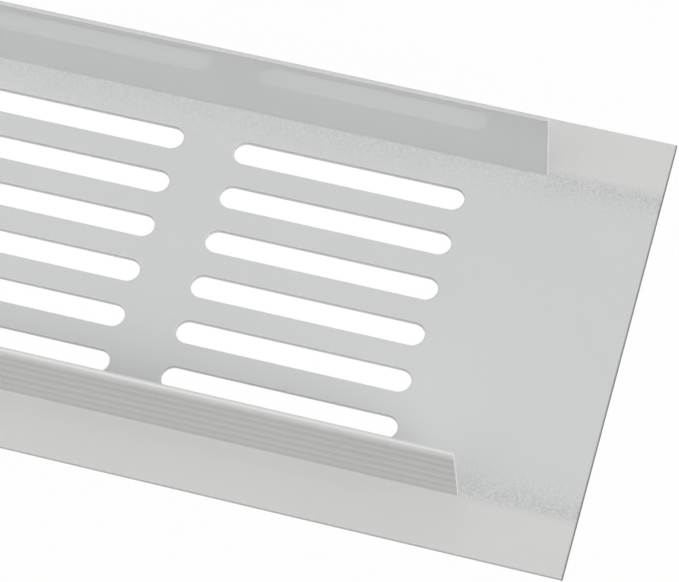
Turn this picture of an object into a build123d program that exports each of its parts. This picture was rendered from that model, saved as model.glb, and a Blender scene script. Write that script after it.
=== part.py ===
"""Air supply grille: one extruded aluminium plate with two barbed fins and rows of punched air slots."""

import os
from math import radians, tan

from build123d import *

# Plate. Lengths in millimetres, with the show face down on Z = 0 and the fins pointing up
plate_length = 300.0
plate_width = 80.0
plate_thickness = 1.2
show_edge_radius = 0.6

# Air slots, punched in straight rows and columns about the middle of the plate
slot_columns = 5
slot_rows = 6
slot_length = 40.0
slot_width = 4.2
slot_end_bridge = 9.0
slot_side_bridge = 4.35

# Fins that clamp the grille in its cut-out, drawn along their height from the plate's back face
fin_outer_spacing = 60.3
fin_height = 17.5
fin_thickness = 0.85
fin_lean = 2.3
fin_setback = 19.7
fin_root_radius = 0.3

# Barbs on the outer face of each fin, with their steep side towards the plate
barb_count = 4
barb_pitch = 3.0
barb_depth = 0.25

# Nose along the top of each fin: the thickest barb, rounded on the outside to lead into the cut-out
nose_thickness = 1.1
nose_height = 1.8
nose_outer_radius = 0.85
nose_inner_radius = 0.1

# Derived places
column_pitch = slot_length + slot_end_bridge
row_pitch = slot_width + slot_side_bridge
fin_inner_foot = fin_outer_spacing / 2 - fin_thickness
nose_ledge = fin_height - nose_height


def fin_point(height, depth):
    """Section point at a height above the back face and a depth outwards from the fin's inner face."""
    return (fin_inner_foot + depth + height * tan(radians(fin_lean)), plate_thickness + height)


def barb_points():
    """Outer face from the plate upwards: each barb steps out, then tapers in to the foot of the next."""
    points = [fin_point(0, fin_thickness)]
    for barb in range(1, barb_count + 1):
        ledge = barb * barb_pitch
        points.append(fin_point(ledge, fin_thickness - barb_depth))
        points.append(fin_point(ledge, fin_thickness))
    return points


fin_outline = [
    fin_point(0, 0),
    *barb_points(),
    fin_point(nose_ledge, fin_thickness - barb_depth),
    fin_point(nose_ledge, nose_thickness),
    fin_point(fin_height, nose_thickness),
    fin_point(fin_height, 0),
]

with BuildPart() as grille:
    # The whole section is one extrusion, with fins as long as the plate
    with BuildSketch(Plane.YZ) as section:
        with Locations((0, plate_thickness / 2)):
            Rectangle(plate_width, plate_thickness)
        show_edges = section.vertices().group_by(Axis.Y)[0]
        fillet(show_edges, show_edge_radius)
        with BuildLine():
            Polyline(*fin_outline, close=True)
        make_face()
        mirror(about=Plane.YZ)
        back_face = section.vertices().filter_by_position(Axis.Y, plate_thickness, plate_thickness)
        fin_feet = back_face.sort_by(Axis.X)[1:-1]
        fillet(fin_feet, fin_root_radius)
        fin_tops = section.vertices().group_by(Axis.Y)[-1].sort_by(Axis.X)
        fillet([fin_tops[0], fin_tops[-1]], nose_outer_radius)
        fin_tops = section.vertices().group_by(Axis.Y)[-1].sort_by(Axis.X)
        fillet([fin_tops[1], fin_tops[-2]], nose_inner_radius)
    extrude(amount=plate_length / 2, both=True)

    # Both fins are milled back from the plate's ends
    with BuildSketch(Plane.XY.offset(plate_thickness)):
        with GridLocations(plate_length - fin_setback, 0, 2, 1):
            Rectangle(fin_setback, plate_width)
    extrude(amount=fin_height, mode=Mode.SUBTRACT)

    # The slots go right through the plate
    with BuildSketch(Plane.XY):
        with GridLocations(column_pitch, row_pitch, slot_columns, slot_rows):
            SlotOverall(slot_length, slot_width)
    extrude(amount=plate_thickness, mode=Mode.SUBTRACT)

grille.part.label = "grille"

os.makedirs("parts", exist_ok=True)
export_step(grille.part, "parts/grille.step")
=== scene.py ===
"""Air supply grille: a punched, satin anodised aluminium plate with two barbed clamping fins on its back."""

from math import cos, pi, radians, sin, tan

import bmesh
import bpy
from mathutils import Matrix, Vector


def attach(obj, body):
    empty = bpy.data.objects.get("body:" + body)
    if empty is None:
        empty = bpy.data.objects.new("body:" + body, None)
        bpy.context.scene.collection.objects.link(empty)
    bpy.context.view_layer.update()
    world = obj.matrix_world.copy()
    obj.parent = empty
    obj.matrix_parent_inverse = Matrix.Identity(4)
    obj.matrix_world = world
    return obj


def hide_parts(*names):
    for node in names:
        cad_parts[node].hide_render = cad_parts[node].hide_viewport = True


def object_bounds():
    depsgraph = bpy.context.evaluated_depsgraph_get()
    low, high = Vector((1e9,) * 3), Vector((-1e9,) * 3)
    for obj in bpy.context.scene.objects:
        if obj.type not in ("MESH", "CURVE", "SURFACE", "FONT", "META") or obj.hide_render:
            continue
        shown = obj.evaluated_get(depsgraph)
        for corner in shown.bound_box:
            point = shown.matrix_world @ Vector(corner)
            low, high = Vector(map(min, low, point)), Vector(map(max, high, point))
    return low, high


bl_info = {
    "name": "Air Supply Grille",
    "version": (1, 0, 0),
    "blender": (4, 5, 0),
    "location": "3D View > Sidebar > Grille",
    "description": "Models a slotted aluminium ventilation grille and its studio",
    "category": "Mesh",
}

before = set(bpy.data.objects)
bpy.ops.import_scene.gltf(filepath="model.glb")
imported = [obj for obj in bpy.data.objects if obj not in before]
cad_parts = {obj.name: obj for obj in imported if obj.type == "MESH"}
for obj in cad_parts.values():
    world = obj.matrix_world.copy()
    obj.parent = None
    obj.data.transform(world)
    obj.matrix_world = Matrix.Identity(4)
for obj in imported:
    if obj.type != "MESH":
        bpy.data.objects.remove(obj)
cad_low, cad_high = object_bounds()

MM = 0.001
NEAR = 1e-6
NODE = "grille"
BODY = "root"
PIECE = "grille_body"
SATIN, SHEARED, MILLED, SAWN = range(4)
SMOOTH_ANGLE = radians(40)
WALL_TILT = 0.5


def length(name, description, default):
    """A size property in metres."""
    return bpy.props.FloatProperty(
        name=name, description=description, default=default, min=0.0, unit="LENGTH", precision=5
    )


def count(name, description, default):
    """A whole number property of at least one."""
    return bpy.props.IntProperty(name=name, description=description, default=default, min=1)


def share(name, description, default):
    """A factor property."""
    return bpy.props.FloatProperty(
        name=name, description=description, default=default, min=0.0, subtype="FACTOR"
    )


def angle(name, description, default):
    """An angle property, its default in degrees."""
    return bpy.props.FloatProperty(
        name=name, description=description, default=radians(default), subtype="ANGLE", precision=3
    )


def tint(name, description, default):
    """A linear colour property."""
    return bpy.props.FloatVectorProperty(
        name=name, description=description, default=default, min=0.0, max=1.0, size=3, subtype="COLOR"
    )


class GrilleSizes(bpy.types.PropertyGroup):
    """Sizes of the extruded plate, its slots and its fins."""

    plate_length: length("Plate length", "Length of the plate along X", cad_high.x - cad_low.x)
    plate_width: length("Plate width", "Width of the plate along Y", cad_high.y - cad_low.y)
    plate_thickness: length("Plate thickness", "Show face to back face", 1.2 * MM)
    show_edge_radius: length("Show edge radius", "Rounding of the long edges of the show face", 0.6 * MM)
    trim_edge: length("Broken edge", "Small rounding of the long edges of the back face", 0.07 * MM)

    slot_columns: count("Slot columns", "Slots along the length", 5)
    slot_rows: count("Slot rows", "Slots across the width, an even number", 6)
    slot_length: length("Slot length", "Overall length of a slot", 40.0 * MM)
    slot_width: length("Slot width", "Width of a slot", 4.2 * MM)
    column_pitch: length("Column pitch", "Slot centre to slot centre along X", 49.0 * MM)
    row_pitch: length("Row pitch", "Slot centre to slot centre along Y", 8.55 * MM)
    slot_points: count("Slot points", "Points round the two ends of a slot", 48)
    rim_land: length("Rim land", "Ring of faces kept round each slot", 0.35 * MM)
    rim_back: length("Back rim", "Rounding of the slots on the back face", 0.09 * MM)
    rim_show: length("Show rim", "Rounding of the slots on the show face", 0.45 * MM)

    fin_spacing: length("Fin spacing", "Outer foot to outer foot of the two fins", 60.3 * MM)
    fin_thickness: length("Fin thickness", "Thickness over a barb", 0.85 * MM)
    fin_lean: angle("Fin lean", "Outward lean of a fin", 2.3)
    fin_setback: length("Fin setback", "Plate end to fin end", 19.7 * MM)
    fin_root_radius: length("Fin root radius", "Rounding at the foot of a fin", 0.3 * MM)
    nose_thickness: length("Nose thickness", "Thickness of the nose along a fin's top", 1.1 * MM)
    nose_height: length("Nose height", "Height of the nose along a fin's top", 1.8 * MM)
    nose_outer_radius: length("Nose outer radius", "Rounding that leads into the cut-out", 0.85 * MM)
    nose_inner_radius: length("Nose inner radius", "Rounding of the inner top edge", 0.1 * MM)
    barb_count: count("Barbs", "Barbs between the plate and the nose", 4)
    barb_pitch: length("Barb pitch", "Height from barb to barb", 3.0 * MM)
    barb_depth: length("Barb depth", "How far a barb stands out", 0.25 * MM)
    barb_ledge: length("Barb ledge", "Rise of the steep side of a barb", 0.06 * MM)
    barb_back: length("Barb back", "Height of a barb's crest above its steep side", 1.2 * MM)
    barb_drop: length("Barb drop", "How far a barb falls back from its crest to its steep side", 0.08 * MM)
    nose_edge: length("Nose edge", "Rounding of the nose's lower edge", 0.1 * MM)


class AnodisedFinish(bpy.types.PropertyGroup):
    """Colours, film, grain and cut faces of the metal."""

    # Painted light and shade in the tints: the inner tint is darker than the flange tint, as painted shade
    # between the fins. The fin and barb tints are lighter, as painted light on the fins' faces.
    inner_tint_painted_shade: tint("Inner tint", "Anodised back face between the fins", (0.588, 0.600, 0.595))
    fin_tint_painted_light: tint("Fin tint", "Anodised inner faces of the fins", (0.674, 0.684, 0.692))
    barb_tint_painted_light: tint("Barb tint", "Anodised outer faces of the fins, with the barbs", (0.660, 0.659, 0.646))
    flange_tint: tint("Flange tint", "Anodised flanges and show face", (0.616, 0.621, 0.603))
    sheared_tint: tint("Sheared tint", "Punched walls of the slots", (0.420, 0.405, 0.420))
    milled_tint: tint("Milled tint", "Milled ends of the fins", (0.760, 0.755, 0.750))
    # The sawn tint is duller bare metal, made nearly black with painted shade
    sawn_tint_and_painted_shade: tint("Sawn tint", "Sawn ends of the plate", (0.060, 0.060, 0.060))

    metallic: share("Metallic", "Share of bare metal that shows through the etched oxide", 0.1)
    gloss: share("Gloss", "Specular level of the metal under its film", 0.5)
    film_weight: share("Oxide film", "Weight of the clear oxide film", 1.0)
    film_index: bpy.props.FloatProperty(
        name="Film index", description="Refractive index of the oxide film", default=1.8, min=1.0
    )
    film_roughness: share("Film roughness", "Roughness of the oxide film", 0.025)
    bare_film: share("Bare film", "Share of the film that the sawn ends carry", 0.1)

    roughness: share("Roughness", "Roughness of the etched metal", 0.6)
    grain_roughness: share("Grain roughness", "How much the grain changes the roughness", 0.12)
    cloud_roughness: share("Cloud roughness", "How much the clouds change the roughness", 0.08)
    grain_size: length("Grain size", "Size of the etched grain", 0.25 * MM)
    grain_tone: share("Grain tone", "How much the grain changes the tone", 0.03)
    cloud_size: length("Cloud size", "Size of the soft clouds in the tone", 35.0 * MM)
    cloud_tone: share("Cloud tone", "How much the clouds change the tone", 0.05)
    draw_size: length("Draw line size", "Width of the drawn lines along the profile", 0.12 * MM)
    draw_tone: share("Draw line tone", "How much the drawn lines change the tone", 0.02)
    plate_draw: share("Plate draw lines", "Depth of the drawn lines on the plate, next to the grain's", 0.5)
    fin_draw: share("Fin draw lines", "Depth that the drawn lines gain on the fins", 0.3)
    relief: length("Relief", "Depth of the etched grain", 0.006 * MM)

    face_blur: length("Face blur", "Soft border between faces of different tints", 0.25 * MM)
    # Painted shade: a darker strip along the plate's long edges and a dark line along its sawn ends
    painted_edge_shade: share("Edge shade", "How much duller the long edges are than the faces", 0.35)
    painted_shade_end_line: length("Saw line", "Width of the dull line along the sawn ends", 0.3 * MM)
    painted_end_shade: share("Saw shade", "How much duller the line along the sawn ends is", 0.7)
    # Painted shade in the grooves under the barbs
    painted_groove_shade: share("Groove shade", "How much duller the metal is in the grooves under the barbs", 0.17)

    crystal_size: length("Crystal size", "Size of the speckle's crystals", 0.35 * MM)
    speckle: share("Speckle", "Strength of the speckle beside the fins", 0.45)
    speckle_reach: length("Speckle reach", "How far the speckle runs in from a fin", 9.0 * MM)
    # Painted shade beside the fins, darkening the speckled metal
    painted_shade_beside_fins: share("Speckle shade", "How much duller the speckled metal is", 0.04)
    band_reach: length("Band reach", "Width of the milled bands past the fin ends", 4.0 * MM)
    band_blur: length("Band blur", "Soft border of the milled bands", 0.9 * MM)
    band_speckle: share("Band speckle", "Strength that the speckle gains on the milled bands", 0.2)
    band_shade: share("Band shade", "How much duller the milled bands are", 0.05)

    drag_size: length("Drag size", "Width of the punch's drag lines on the slot walls", 0.12 * MM)
    drag_depth: length("Drag depth", "Depth of the drag lines", 0.01 * MM)
    drag_tone: share("Drag tone", "How much the drag lines change tone and roughness", 0.2)
    tear_waver: length("Tear waver", "How far the drag lines move the border of the torn part", 0.4 * MM)
    tear_shade: share("Tear shade", "How much duller the torn part of a slot wall is", 0.08)
    tear_roughness: share("Tear roughness", "Roughness that the torn part gains", 0.2)
    wall_roughness: share("Wall roughness", "Roughness of the burnished part of a slot wall", 0.5)

    tool_size: length("Tool line size", "Width of the tool lines on the milled and sawn ends", 0.08 * MM)
    tool_depth: length("Tool line depth", "Depth of the tool lines", 0.008 * MM)
    tool_tone: share("Tool line tone", "How much the tool lines change tone and roughness", 0.2)
    cut_roughness: share("Cut roughness", "Roughness of the milled and sawn ends", 0.45)


class StudioSettings(bpy.types.PropertyGroup):
    """Camera and lights of the studio."""

    azimuth: angle("Azimuth", "Camera turn round the grille", 22.367)
    elevation: angle("Elevation", "Camera height angle", 63.950)
    roll: angle("Roll", "Camera turn about its own axis", -7.636)
    distance: length("Distance", "Camera to target", 0.56815)
    target: bpy.props.FloatVectorProperty(
        name="Target", description="Point in the middle of the picture",
        default=(0.102271, 0.000312, 0.0012), size=3, unit="LENGTH", precision=5,
    )
    lens: bpy.props.FloatProperty(
        name="Lens", description="Focal length in millimetres", default=182.625, unit="CAMERA"
    )
    sensor: bpy.props.FloatProperty(
        name="Sensor", description="Sensor width in millimetres", default=36.0, unit="CAMERA"
    )
    floor_size: length("Floor size", "Side of the square floor", 6.0)
    floor_gap: length("Floor gap", "Floor below the show face", 0.1 * MM)
    floor_white: share("Floor white", "Share of even white on the floor, the rest takes shadow", 0.98)
    floor_tint: tint("Floor tint", "Floor that takes the shadow and throws light back", (0.35, 0.35, 0.35))
    card_tint: tint("Card tint", "White card under the grille that lights its slots", (0.95, 0.95, 0.95))
    card_edge: length("Card edge", "Soft edge of the card, inside the grille's outline", 2.0 * MM)
    key_turn: angle("Key turn", "Turn of the key light from +X", -22)
    key_height: angle("Key height", "Height angle of the key light", 37)
    key_strength: share("Key strength", "Strength of the key light", 5.7)
    fill_turn: angle("Fill turn", "Turn of the fill light from +X", -150)
    fill_height: angle("Fill height", "Height angle of the fill light", 60)
    fill_strength: share("Fill strength", "Strength of the fill light", 1.4)
    box_spread: angle("Box spread", "Half angle over which both lights fade", 35)
    tent_low: share("Tent", "Strength of the tent all round", 0.05)
    tent_behind: share("Tent behind", "Strength that the tent gains behind the grille", 0.5)
    tent_start: bpy.props.FloatProperty(
        name="Tent start", description="Y of the direction where the tent starts to gain", default=-0.4
    )
    tent_full: bpy.props.FloatProperty(
        name="Tent full", description="Y of the direction where the tent is brightest", default=0.6
    )


def near(value, place):
    """True where two lengths agree."""
    return abs(value - place) < NEAR


def on_plane(part, axis, place):
    """True where every corner of an edge or face lies on one plane square to an axis."""
    return all(near(corner.co[axis], place) for corner in part.verts)


def pick(kind, test):
    """Selects the vertices, edges or faces of the edited mesh that pass a test, and nothing else."""
    bpy.ops.mesh.select_mode(type=kind)
    bpy.ops.mesh.select_all(action="DESELECT")
    mesh = bpy.context.edit_object.data
    shape = bmesh.from_edit_mesh(mesh)
    found = 0
    for part in {"VERT": shape.verts, "EDGE": shape.edges, "FACE": shape.faces}[kind]:
        if test(part):
            part.select_set(True)
            found += 1
    if not found:
        raise RuntimeError("nothing on the grille matches a selection")
    shape.select_flush_mode()
    bmesh.update_edit_mesh(mesh)


def from_slot_axis(point, straight):
    """Distance of a point from the middle line of the slot at the origin."""
    past_end = max(abs(point.x) - straight / 2, 0.0)
    return (past_end**2 + point.y**2) ** 0.5


def draw_slot_cell(sizes):
    """One slot with a ring of faces round it, filled out to the rectangle that repeats."""
    step = pi / sizes.slot_points
    straight = sizes.slot_length - sizes.slot_width
    rim = sizes.slot_width / 2
    bpy.ops.mesh.primitive_circle_add(vertices=sizes.slot_points, radius=rim / cos(step))
    body = bpy.context.object
    body.name = PIECE
    body.data.name = PIECE
    bpy.ops.object.mode_set(mode="EDIT")
    bpy.ops.mesh.primitive_circle_add(vertices=sizes.slot_points, radius=(rim + sizes.rim_land) / cos(step))
    bpy.ops.mesh.select_all(action="SELECT")
    bpy.ops.mesh.bridge_edge_loops()
    bpy.ops.mesh.select_all(action="SELECT")
    bpy.ops.transform.rotate(value=step, orient_axis="Z", center_override=(0.0, 0.0, 0.0))
    for end in (1, -1):
        pick("VERT", lambda corner: corner.co.x * end > 0)
        bpy.ops.transform.translate(value=(end * straight / 2, 0.0, 0.0))
    bpy.ops.mesh.primitive_plane_add(size=1.0)
    bpy.ops.transform.resize(value=(sizes.column_pitch, sizes.row_pitch, 1.0))
    bpy.ops.mesh.delete(type="ONLY_FACE")
    land = rim + sizes.rim_land / 2
    pick("EDGE", lambda edge: not edge.link_faces or (
        edge.is_boundary and from_slot_axis(edge.verts[0].co, straight) > land))
    bpy.ops.mesh.fill()
    first_x = -(sizes.slot_columns - 1) / 2 * sizes.column_pitch
    bpy.ops.mesh.select_all(action="SELECT")
    bpy.ops.transform.translate(value=(first_x, sizes.row_pitch / 2, sizes.plate_thickness))
    bpy.ops.object.mode_set(mode="OBJECT")
    return body


def apply_modifier(body, kind, **settings):
    """Adds a modifier with its settings and applies it."""
    modifier = body.modifiers.new(kind.lower(), kind)
    for name, value in settings.items():
        setattr(modifier, name, value)
    bpy.ops.object.modifier_apply(modifier=modifier.name)


def repeat_slots(body, sizes):
    """Repeats the slot over the columns, and over the rows on one side of the middle."""
    pitches = (
        (sizes.slot_columns, (sizes.column_pitch, 0.0, 0.0)),
        (sizes.slot_rows // 2, (0.0, sizes.row_pitch, 0.0)),
    )
    for copies, pitch in pitches:
        apply_modifier(
            body, "ARRAY", count=copies, use_relative_offset=False, use_constant_offset=True,
            constant_offset_displace=pitch, use_merge_vertices=True, merge_threshold=NEAR,
        )


def widen_sheet(sizes):
    """Extends the slotted sheet to the fin ends and plate ends, then across the fin foot to the edge."""
    field_x = sizes.slot_columns * sizes.column_pitch / 2
    plate_x = sizes.plate_length / 2
    for end in (1, -1):
        reached = field_x
        for place in (plate_x - sizes.fin_setback, plate_x):
            pick("EDGE", lambda edge: on_plane(edge, 0, end * reached))
            bpy.ops.mesh.extrude_edges_move(
                TRANSFORM_OT_translate={"value": (end * (place - reached), 0.0, 0.0)})
            reached = place
    reached = sizes.slot_rows * sizes.row_pitch / 2
    for place in (*fin_foot(sizes), sizes.plate_width / 2):
        pick("EDGE", lambda edge: on_plane(edge, 1, reached))
        bpy.ops.mesh.extrude_edges_move(TRANSFORM_OT_translate={"value": (0.0, place - reached, 0.0)})
        reached = place


def fin_foot(sizes):
    """Y of the inner and outer side of the fin where its root roundings meet the plate."""
    outer = sizes.fin_spacing / 2
    return (outer - sizes.fin_thickness - sizes.fin_root_radius, outer + sizes.fin_root_radius)


def thicken_sheet(sizes):
    """Gives the half sheet its thickness, left open along the middle."""
    bpy.ops.mesh.select_all(action="SELECT")
    bpy.ops.mesh.extrude_region_move(TRANSFORM_OT_translate={"value": (0.0, 0.0, -sizes.plate_thickness)})
    pick("FACE", lambda face: on_plane(face, 1, 0.0))
    bpy.ops.mesh.delete(type="FACE")
    bpy.ops.mesh.select_all(action="SELECT")
    bpy.ops.mesh.normals_make_consistent(inside=False)


def fin_height(sizes):
    """Height of a fin above the plate's back face."""
    return cad_high.z - sizes.plate_thickness


def nose_ledge(sizes):
    """Height of the nose's lower edge above the plate's back face."""
    return fin_height(sizes) - sizes.nose_height


def fin_levels(sizes):
    """Height, inner depth and outer depth of the fin's section, from the root roundings to the top."""
    radius = sizes.fin_root_radius
    slim = sizes.fin_thickness - sizes.barb_depth
    levels = []
    for turn in (radians(30), radians(60), radians(90)):
        inset = radius * (1 - sin(turn))
        levels.append((radius * (1 - cos(turn)), -inset, sizes.fin_thickness + inset))
    for barb in range(1, sizes.barb_count + 1):
        ledge = barb * sizes.barb_pitch
        crest = ledge + sizes.barb_ledge + sizes.barb_back
        levels.append((ledge, 0.0, slim))
        for part in (1.0, 0.75, 0.5, 0.25, 0.0):
            fall = sizes.barb_drop * part**2
            levels.append((crest - sizes.barb_back * part, 0.0, sizes.fin_thickness - fall))
    nose = nose_ledge(sizes)
    levels.append((nose, 0.0, slim))
    levels.append((nose + sizes.barb_ledge, 0.0, sizes.nose_thickness))
    levels.append((fin_height(sizes), 0.0, sizes.nose_thickness))
    return levels


def raise_fin(sizes):
    """Draws the fin up out of its foot, level by level."""
    back = sizes.plate_thickness
    end_x = sizes.plate_length / 2 - sizes.fin_setback
    foot_y = sizes.fin_spacing / 2 - sizes.fin_thickness
    inner, outer = fin_foot(sizes)

    def in_foot(face):
        middle = face.calc_center_median()
        return near(middle.z, back) and inner < middle.y < outer and abs(middle.x) < end_x

    pick("FACE", in_foot)
    reached = 0.0
    for height, inner_depth, outer_depth in fin_levels(sizes):
        lean = foot_y + height * tan(sizes.fin_lean)
        rise = Vector((0.0, lean + inner_depth - inner, height - reached))
        bpy.ops.mesh.extrude_region_move(TRANSFORM_OT_translate={"value": rise})
        middle_y = (inner + outer) / 2 + rise.y
        level_z = back + height
        pick("VERT", lambda corner: near(corner.co.z, level_z) and corner.co.y > middle_y)
        widen = lean + outer_depth - (outer + rise.y)
        bpy.ops.transform.translate(value=(0.0, widen, 0.0))
        pick("FACE", lambda face: on_plane(face, 2, level_z))
        inner, outer, reached = lean + inner_depth, lean + outer_depth, height


def round_picked(width, segments):
    """Rounds the selected edges."""
    bpy.ops.mesh.bevel(offset=width, offset_type="OFFSET", segments=segments, profile=0.5,
                       affect="EDGES", clamp_overlap=True, loop_slide=False)


def runs_along(edge, axis):
    """True for an edge parallel to an axis."""
    run = edge.verts[1].co - edge.verts[0].co
    return abs(run[axis]) > run.length - NEAR


def round_edges(sizes):
    """Rounds the slot rims, the plate's long edges and the edges of the fin's nose."""
    back = sizes.plate_thickness
    half_width = sizes.plate_width / 2
    straight = sizes.slot_length - sizes.slot_width
    land = (sizes.slot_width + sizes.rim_land) / 2

    def from_own_slot(point):
        column = round(point.x / sizes.column_pitch) * sizes.column_pitch
        row = (int(point.y / sizes.row_pitch) + 0.5) * sizes.row_pitch
        return from_slot_axis(Vector((point.x - column, point.y - row, 0.0)), straight)

    def on_rim(edge, level):
        field_y = sizes.slot_rows * sizes.row_pitch / 2
        inside = all(corner.co.y < field_y - NEAR for corner in edge.verts)
        return on_plane(edge, 2, level) and inside and all(
            from_own_slot(corner.co) < land for corner in edge.verts)

    pick("EDGE", lambda edge: on_rim(edge, back))
    round_picked(sizes.rim_back, segments=2)
    pick("EDGE", lambda edge: on_rim(edge, 0.0))
    round_picked(sizes.rim_show, segments=3)
    pick("EDGE", lambda edge: on_plane(edge, 1, half_width) and on_plane(edge, 2, 0.0))
    round_picked(sizes.show_edge_radius, segments=5)
    pick("EDGE", lambda edge: on_plane(edge, 1, half_width) and on_plane(edge, 2, back))
    round_picked(sizes.trim_edge, segments=2)

    top = cad_high.z
    top_middle = (sizes.fin_spacing / 2 - sizes.fin_thickness + (top - back) * tan(sizes.fin_lean)
                  + sizes.nose_thickness / 2)
    sides = ((1, sizes.nose_outer_radius, 8), (-1, sizes.nose_inner_radius, 2))
    for side, radius, segments in sides:
        pick("EDGE", lambda edge: on_plane(edge, 2, top) and runs_along(edge, 0)
             and (edge.verts[0].co.y - top_middle) * side > 0)
        round_picked(radius, segments)

    nose_z = back + nose_ledge(sizes) + sizes.barb_ledge
    pick("EDGE", lambda edge: on_plane(edge, 2, nose_z) and runs_along(edge, 0)
         and edge.verts[0].co.y > top_middle)
    round_picked(sizes.nose_edge, segments=3)


def mark_finishes(sizes):
    """Gives the punched walls and the milled and sawn ends their own materials."""
    back = sizes.plate_thickness
    field_y = sizes.slot_rows * sizes.row_pitch / 2
    plate_x = sizes.plate_length / 2
    fin_end = plate_x - sizes.fin_setback
    body = bpy.context.edit_object

    def punched(face):
        middle = face.calc_center_median()
        in_field = middle.y < field_y and abs(middle.x) < fin_end
        return in_field and NEAR < middle.z < back - NEAR and abs(face.normal.z) < WALL_TILT

    def sawn(face):
        return on_plane(face, 0, plate_x) or on_plane(face, 0, -plate_x)

    def milled(face):
        return on_plane(face, 0, fin_end) or on_plane(face, 0, -fin_end)

    for finish, test in ((SHEARED, punched), (MILLED, milled), (SAWN, sawn)):
        pick("FACE", test)
        body.active_material_index = finish
        bpy.ops.object.material_slot_assign()


def mirror_plate(body):
    """Mirrors the half plate about its length and closes the seam."""
    apply_modifier(
        body, "MIRROR", use_axis=(False, True, False), use_mirror_merge=True, merge_threshold=NEAR
    )
    bpy.ops.object.mode_set(mode="EDIT")
    bpy.ops.mesh.select_all(action="SELECT")
    bpy.ops.mesh.remove_doubles(threshold=NEAR / 10)
    bpy.ops.mesh.normals_make_consistent(inside=False)
    bpy.ops.object.mode_set(mode="OBJECT")


class Wire:
    """An output socket; sums with numbers or other wires add Math nodes."""

    def __init__(self, recipe, socket):
        self.recipe = recipe
        self.socket = socket

    def calculate(self, operation, first, second):
        """Adds one Math node."""
        sockets = {"Value": first, "Value_001": second}
        return self.recipe.add("ShaderNodeMath", {"operation": operation}, sockets)

    def __add__(self, other):
        return self.calculate("ADD", self, other)

    def __radd__(self, other):
        return self.calculate("ADD", other, self)

    def __sub__(self, other):
        return self.calculate("SUBTRACT", self, other)

    def __rsub__(self, other):
        return self.calculate("SUBTRACT", other, self)

    def __mul__(self, other):
        return self.calculate("MULTIPLY", self, other)

    def __rmul__(self, other):
        return self.calculate("MULTIPLY", other, self)

    def __abs__(self):
        return self.calculate("ABSOLUTE", self, 0.0)

    def past_whole(self):
        """The part of the value past its whole number."""
        return self.calculate("FRACT", self, 0.0)

    def most(self, other):
        """The larger of two values."""
        return self.calculate("MAXIMUM", self, other)


class Recipe:
    """Builds the node tree of one material or world."""

    def __init__(self, tree):
        self.tree = tree
        self.tree.nodes.clear()

    def add(self, kind, settings, sockets, output=None):
        """Adds a node: its settings first, then its sockets' values or links. Gives back one output."""
        node = self.tree.nodes.new(kind)
        for name, value in settings.items():
            setattr(node, name, value)
        inputs = {socket.identifier: socket for socket in node.inputs}
        for name, value in sockets.items():
            if isinstance(value, Wire):
                self.tree.links.new(value.socket, inputs[name])
            else:
                inputs[name].default_value = value
        outputs = {socket.identifier: socket for socket in node.outputs}
        if not outputs:
            return None
        return Wire(self, outputs[output] if output else node.outputs[0])

    def axes(self, vector):
        """The three values of a vector."""
        return [self.add("ShaderNodeSeparateXYZ", {}, {"Vector": vector}, axis) for axis in "XYZ"]

    def slope(self, value, start, end):
        """Smooth step from 0 at the start to 1 at the end."""
        sockets = {"Value": value, "From Min": start, "From Max": end}
        return self.add("ShaderNodeMapRange", {"interpolation_type": "SMOOTHSTEP"}, sockets)

    def noise(self, place, size, detail=2.0, stretch=(1.0, 1.0, 1.0)):
        """Noise about zero with features of a size in metres, drawn out along the axes by the stretch."""
        scale = tuple(1.0 / (size * factor) for factor in stretch)
        spread = self.add(
            "ShaderNodeVectorMath", {"operation": "MULTIPLY"}, {"Vector": place, "Vector_001": scale}
        )
        sockets = {"Vector": spread, "Scale": 1.0, "Detail": detail, "Roughness": 0.6}
        return self.add("ShaderNodeTexNoise", {}, sockets, "Fac") - 0.5

    def blend(self, factor, first, second):
        """A colour between two colours."""
        sockets = {"Factor_Float": factor, "A_Color": first, "B_Color": second}
        return self.add("ShaderNodeMix", {"data_type": "RGBA"}, sockets, "Result_Color")

    def shade(self, colour, tone):
        """A colour made lighter or darker."""
        return self.add("ShaderNodeVectorMath", {"operation": "SCALE"}, {"Vector": colour, "Scale": tone})

    def bump(self, height, distance):
        """A surface normal from a height."""
        return self.add("ShaderNodeBump", {}, {"Strength": 1.0, "Distance": distance, "Height": height})


def opaque(colour):
    """A colour with full alpha."""
    return (*colour, 1.0)


def new_material(name):
    """An empty material and its recipe."""
    material = bpy.data.materials.new(name)
    material.use_nodes = True
    return material, Recipe(material.node_tree)


def finish_metal(recipe, finish, colour, roughness, normal, film=1.0):
    """Etched or cut metal under a share of its clear oxide film, duller where that is low."""
    metal = recipe.add("ShaderNodeBsdfPrincipled", {}, {
        "Base Color": colour,
        "Metallic": finish.metallic,
        "Roughness": roughness,
        "Normal": normal,
        "Specular IOR Level": finish.gloss * film,
        "Coat Weight": finish.film_weight * film,
        "Coat Roughness": finish.film_roughness,
        "Coat IOR": finish.film_index,
    })
    recipe.add("ShaderNodeOutputMaterial", {}, {"Surface": metal})


def groove_mask(recipe, finish, sizes, height):
    """Where the painted shade of the grooves goes: 1 in the grooves between the barbs, 0 on the barbs'
    crests and on the nose.
    """
    turn = (height * (1.0 / sizes.barb_pitch)).past_whole()
    crest = (sizes.barb_ledge + sizes.barb_back) / sizes.barb_pitch
    crests = recipe.slope(turn, 0.0, crest) * (1.0 - recipe.slope(turn, crest, 1.0))
    nose = nose_ledge(sizes)
    below_nose = 1.0 - recipe.slope(height, nose - finish.face_blur, nose)
    return (1.0 - crests) * below_nose


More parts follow.
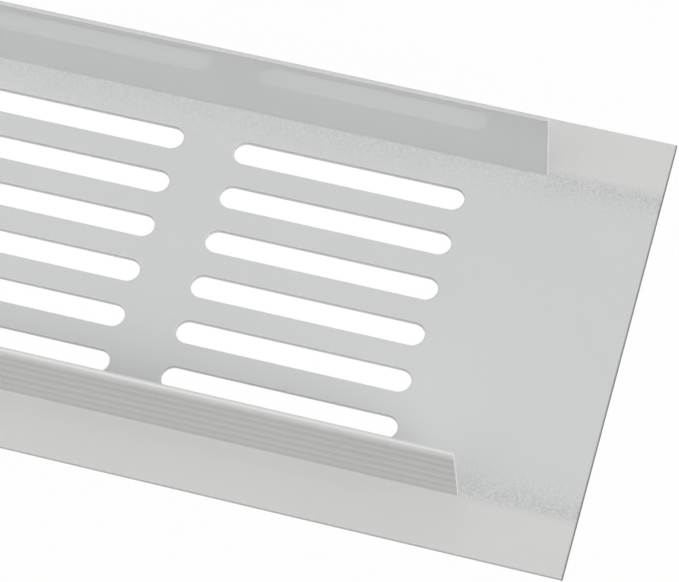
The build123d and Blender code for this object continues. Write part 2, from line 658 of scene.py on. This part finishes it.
def make_satin(finish, sizes):
    """Silver anodised faces: cool between the fins, warmer on the flanges, speckled beside the fins. Painted
    shade between and beside the fins, in the barbs' grooves, along the long edges and along the sawn ends,
    and painted light on the fins' faces.
    """
    material, recipe = new_material("satin_anodised")
    place = recipe.add("ShaderNodeTexCoord", {}, {}, "Object")
    along, across, up = recipe.axes(place)
    side = abs(across)
    back = sizes.plate_thickness
    height = up - back
    half_length = sizes.plate_length / 2
    half_width = sizes.plate_width / 2
    outer = sizes.fin_spacing / 2
    foot = outer - sizes.fin_thickness
    fin_end = half_length - sizes.fin_setback
    fin_top = fin_height(sizes)
    blur = finish.face_blur

    grain = recipe.noise(place, finish.grain_size)
    streaks = recipe.noise(place, finish.draw_size, stretch=(200.0, 1.0, 1.0))
    clouds = recipe.noise(place, finish.cloud_size, detail=3.0)
    crystals = recipe.noise(place, finish.crystal_size, detail=1.0)

    # Masks on the plate: 1 where their name holds
    past_end = recipe.slope(abs(along), fin_end - blur, fin_end + blur)
    on_plate = 1.0 - recipe.slope(up, back, back + 2 * blur)
    on_back = recipe.slope(up, 0.5 * back, 0.9 * back) * on_plate
    band_edge = foot + past_end * sizes.fin_thickness
    soft = blur + past_end * finish.band_blur
    inside = 1.0 - recipe.slope(side - band_edge, soft * -1.0, soft)
    flange = recipe.slope(side - outer, soft * -1.0, soft).most(on_plate - on_back)
    speckled = recipe.slope(side, foot - finish.speckle_reach, outer) * inside * on_back
    band = recipe.slope(side, foot - finish.band_reach, foot) * inside * past_end * on_back
    # Where painted shade darkens the long edges and the sawn ends
    painted_shade_long_edge = recipe.slope(side, half_width - sizes.trim_edge, half_width)
    painted_shade_end_line = recipe.slope(abs(along), half_length - finish.painted_shade_end_line, half_length)

    # Masks on the fins
    on_fin = 1.0 - on_plate
    depth = side - foot - height * tan(sizes.fin_lean)
    facing_out = recipe.slope(depth, 0.3 * sizes.fin_thickness, 0.6 * sizes.fin_thickness)
    below_top = 1.0 - recipe.slope(height, fin_top - 2 * blur, fin_top)
    fin_inside = on_fin * (1.0 - facing_out) * below_top
    fin_outside = on_fin * facing_out
    # Where painted shade darkens the grooves under the barbs
    grooves = groove_mask(recipe, finish, sizes, height) * fin_outside

    # Painted light and shade: the inner faces between the fins are darker and the fins' faces lighter than
    # the flanges
    colour = recipe.blend(flange, opaque(finish.inner_tint_painted_shade), opaque(finish.flange_tint))
    colour = recipe.blend(fin_inside, colour, opaque(finish.fin_tint_painted_light))
    colour = recipe.blend(fin_outside, colour, opaque(finish.barb_tint_painted_light))
    tone = 1.0 + clouds * finish.cloud_tone + streaks * finish.draw_tone + grain * finish.grain_tone
    tone = tone + crystals * speckled * (finish.speckle + band * finish.band_speckle)
    # Painted shade beside the fins. The bands past the fin ends are also made darker.
    tone = tone - speckled * finish.painted_shade_beside_fins - band * finish.band_shade
    # Painted shade along the long edges and the sawn ends
    tone = tone - painted_shade_long_edge * finish.painted_edge_shade - painted_shade_end_line * finish.painted_end_shade
    # Painted shade in the grooves under the barbs
    tone = tone - grooves * finish.painted_groove_shade
    roughness = finish.roughness + grain * finish.grain_roughness + clouds * finish.cloud_roughness
    relief = grain + streaks * (finish.plate_draw + on_fin * finish.fin_draw) + crystals * speckled
    normal = recipe.bump(relief, finish.relief)
    finish_metal(recipe, finish, recipe.shade(colour, tone), roughness, normal)
    return material


def make_sheared(finish, sizes):
    """Punched walls: burnished where the punch went in, torn and duller towards the back."""
    material, recipe = new_material("sheared_walls")
    place = recipe.add("ShaderNodeTexCoord", {}, {}, "Object")
    up = recipe.axes(place)[2]
    back = sizes.plate_thickness
    drag = recipe.noise(place, finish.drag_size, stretch=(1.0, 1.0, 12.0))
    torn = recipe.slope(up + drag * finish.tear_waver, 0.5 * back, 0.7 * back)
    tone = 1.0 + drag * finish.drag_tone - torn * finish.tear_shade
    roughness = finish.wall_roughness + torn * finish.tear_roughness + drag * finish.drag_tone
    colour = recipe.shade(finish.sheared_tint, tone)
    finish_metal(recipe, finish, colour, roughness, recipe.bump(drag, finish.drag_depth))
    return material


def make_milled(finish):
    """Milled fin ends: bright, under the film, with fine tool lines across them."""
    return make_cut("milled_ends", finish, finish.milled_tint, 1.0)


def make_sawn(finish):
    """Sawn plate ends: nearly bare and dull, tinted nearly black with painted shade, with the same fine
    lines along them.
    """
    return make_cut("sawn_ends", finish, finish.sawn_tint_and_painted_shade, finish.bare_film)


def make_cut(name, finish, colour, film):
    """A face cut square across the profile, with fine tool lines."""
    material, recipe = new_material(name)
    place = recipe.add("ShaderNodeTexCoord", {}, {}, "Object")
    lines = recipe.noise(place, finish.tool_size, stretch=(1.0, 30.0, 1.0))
    shaded = recipe.shade(colour, 1.0 + lines * finish.tool_tone)
    roughness = finish.cut_roughness + lines * finish.tool_tone
    finish_metal(recipe, finish, shaded, roughness, recipe.bump(lines, finish.tool_depth), film)
    return material


class GRILLE_OT_body(bpy.types.Operator):
    """Model the punched plate with its two barbed fins"""

    bl_idname = "grille.body"
    bl_label = "Grille Body"
    bl_options = {"REGISTER", "UNDO"}

    def execute(self, context):
        sizes = context.scene.grille_sizes
        finish = context.scene.grille_finish
        bpy.ops.object.select_all(action="DESELECT")
        body = draw_slot_cell(sizes)
        repeat_slots(body, sizes)
        finishes = {
            SATIN: make_satin(finish, sizes),
            SHEARED: make_sheared(finish, sizes),
            MILLED: make_milled(finish),
            SAWN: make_sawn(finish),
        }
        for place in sorted(finishes):
            body.data.materials.append(finishes[place])
        bpy.ops.object.mode_set(mode="EDIT")
        widen_sheet(sizes)
        thicken_sheet(sizes)
        raise_fin(sizes)
        round_edges(sizes)
        mark_finishes(sizes)
        bpy.ops.object.mode_set(mode="OBJECT")
        mirror_plate(body)
        bpy.ops.object.shade_smooth_by_angle(angle=SMOOTH_ANGLE)
        apply_modifier(body, "WEIGHTED_NORMAL", keep_sharp=True, weight=50)
        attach(body, BODY)
        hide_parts(NODE)
        return {"FINISHED"}


def aim_camera(studio):
    """Places the camera on its arc about the target and rolls it about its own axis."""
    back = Vector((
        sin(studio.azimuth) * cos(studio.elevation),
        -cos(studio.azimuth) * cos(studio.elevation),
        sin(studio.elevation),
    ))
    level = Vector((cos(studio.azimuth), sin(studio.azimuth), 0.0))
    turn = Matrix.Rotation(studio.roll, 3, back)
    right = turn @ level
    up = back.cross(right)
    spot = Vector(studio.target) + back * studio.distance
    camera = bpy.data.objects.new("camera", bpy.data.cameras.new("camera"))
    bpy.context.scene.collection.objects.link(camera)
    facing = Matrix((right, up, back)).transposed().to_4x4()
    camera.matrix_world = Matrix.Translation(spot) @ facing
    camera.data.lens = studio.lens
    camera.data.sensor_width = studio.sensor
    camera.data.sensor_fit = "HORIZONTAL"
    bpy.context.scene.camera = camera


def seen_rays(recipe):
    """1 for rays that show the background: from the camera, off gloss or through glass."""
    rays = [recipe.add("ShaderNodeLightPath", {}, {}, name) for name in (
        "Is Camera Ray", "Is Glossy Ray", "Is Transmission Ray")]
    return rays[0].most(rays[1]).most(rays[2])


def lay_floor(studio):
    """White floor under the show face that still takes a faint shadow."""
    bpy.ops.mesh.primitive_plane_add(size=studio.floor_size, location=(0.0, 0.0, -studio.floor_gap))
    floor = bpy.context.object
    floor.name = "floor"
    material, recipe = new_material("white_floor")
    place = recipe.add("ShaderNodeTexCoord", {}, {}, "Object")
    along, across = recipe.axes(place)[:2]
    off_card = recipe.slope(abs(along), cad_high.x - studio.card_edge, cad_high.x).most(
        recipe.slope(abs(across), cad_high.y - studio.card_edge, cad_high.y))
    tone = recipe.blend(off_card, opaque(studio.card_tint), opaque(studio.floor_tint))
    paper = recipe.add("ShaderNodeBsdfDiffuse", {}, {"Color": tone})
    white = recipe.add("ShaderNodeEmission", {}, {"Color": (1.0, 1.0, 1.0, 1.0), "Strength": 1.0})
    factor = seen_rays(recipe) * studio.floor_white
    surface = recipe.add("ShaderNodeMixShader", {}, {"Fac": factor, "Shader": paper, "Shader_001": white})
    recipe.add("ShaderNodeOutputMaterial", {}, {"Surface": surface})
    floor.data.materials.append(material)


def soft_box(recipe, direction, turn, height, spread):
    """Brightness of a round soft light in the tent, 1 in its middle and 0 past its spread."""
    toward = (cos(turn) * cos(height), sin(turn) * cos(height), sin(height))
    facing = recipe.add(
        "ShaderNodeVectorMath", {"operation": "DOT_PRODUCT"},
        {"Vector": direction, "Vector_001": toward}, "Value",
    )
    return recipe.slope(facing, cos(spread), 1.0)


def light_dome(studio):
    """Light tent: white to the eye, brighter behind, with a key light right and a fill light left."""
    world = bpy.data.worlds.new("studio_dome")
    world.use_nodes = True
    bpy.context.scene.world = world
    recipe = Recipe(world.node_tree)
    direction = recipe.add("ShaderNodeTexCoord", {}, {}, "Generated")
    behind = recipe.slope(recipe.axes(direction)[1], studio.tent_start, studio.tent_full)
    tent = studio.tent_low + behind * studio.tent_behind
    key = soft_box(recipe, direction, studio.key_turn, studio.key_height, studio.box_spread)
    fill = soft_box(recipe, direction, studio.fill_turn, studio.fill_height, studio.box_spread)
    lights = tent + key * studio.key_strength + fill * studio.fill_strength
    seen = recipe.add("ShaderNodeLightPath", {}, {}, "Is Camera Ray")
    strength = seen + (1.0 - seen) * lights
    sockets = {"Color": (1.0, 1.0, 1.0, 1.0), "Strength": strength}
    dome = recipe.add("ShaderNodeBackground", {}, sockets)
    recipe.add("ShaderNodeOutputWorld", {}, {"Surface": dome})


class GRILLE_OT_stage(bpy.types.Operator):
    """Set up the floor, the light and the camera"""

    bl_idname = "grille.stage"
    bl_label = "Studio"
    bl_options = {"REGISTER", "UNDO"}

    def execute(self, context):
        studio = context.scene.grille_studio
        bpy.ops.object.select_all(action="DESELECT")
        lay_floor(studio)
        light_dome(studio)
        aim_camera(studio)
        context.scene.view_settings.view_transform = "Standard"
        return {"FINISHED"}


class GRILLE_PT_panel(bpy.types.Panel):
    """Lists the grille's steps and settings"""

    bl_label = "Air Supply Grille"
    bl_idname = "GRILLE_PT_panel"
    bl_space_type = "VIEW_3D"
    bl_region_type = "UI"
    bl_category = "Grille"

    def draw(self, context):
        for operator in (GRILLE_OT_body, GRILLE_OT_stage):
            self.layout.operator(operator.bl_idname)
        for name in SETTINGS:
            group = getattr(context.scene, name)
            box = self.layout.box()
            for key in group.__annotations__:
                box.prop(group, key)


SETTINGS = {"grille_sizes": GrilleSizes, "grille_finish": AnodisedFinish, "grille_studio": StudioSettings}
CLASSES = (*SETTINGS.values(), GRILLE_OT_body, GRILLE_OT_stage, GRILLE_PT_panel)


def register():
    """Adds the classes and the scene's settings."""
    for cls in CLASSES:
        bpy.utils.register_class(cls)
    for name, group in SETTINGS.items():
        setattr(bpy.types.Scene, name, bpy.props.PointerProperty(type=group))


def unregister():
    """Takes the settings and the classes away again."""
    for name in SETTINGS:
        delattr(bpy.types.Scene, name)
    for cls in reversed(CLASSES):
        bpy.utils.unregister_class(cls)


def main():
    """Builds the grille and its studio."""
    register()
    bpy.ops.grille.body()
    bpy.ops.grille.stage()


if __name__ == "__main__":
    main()
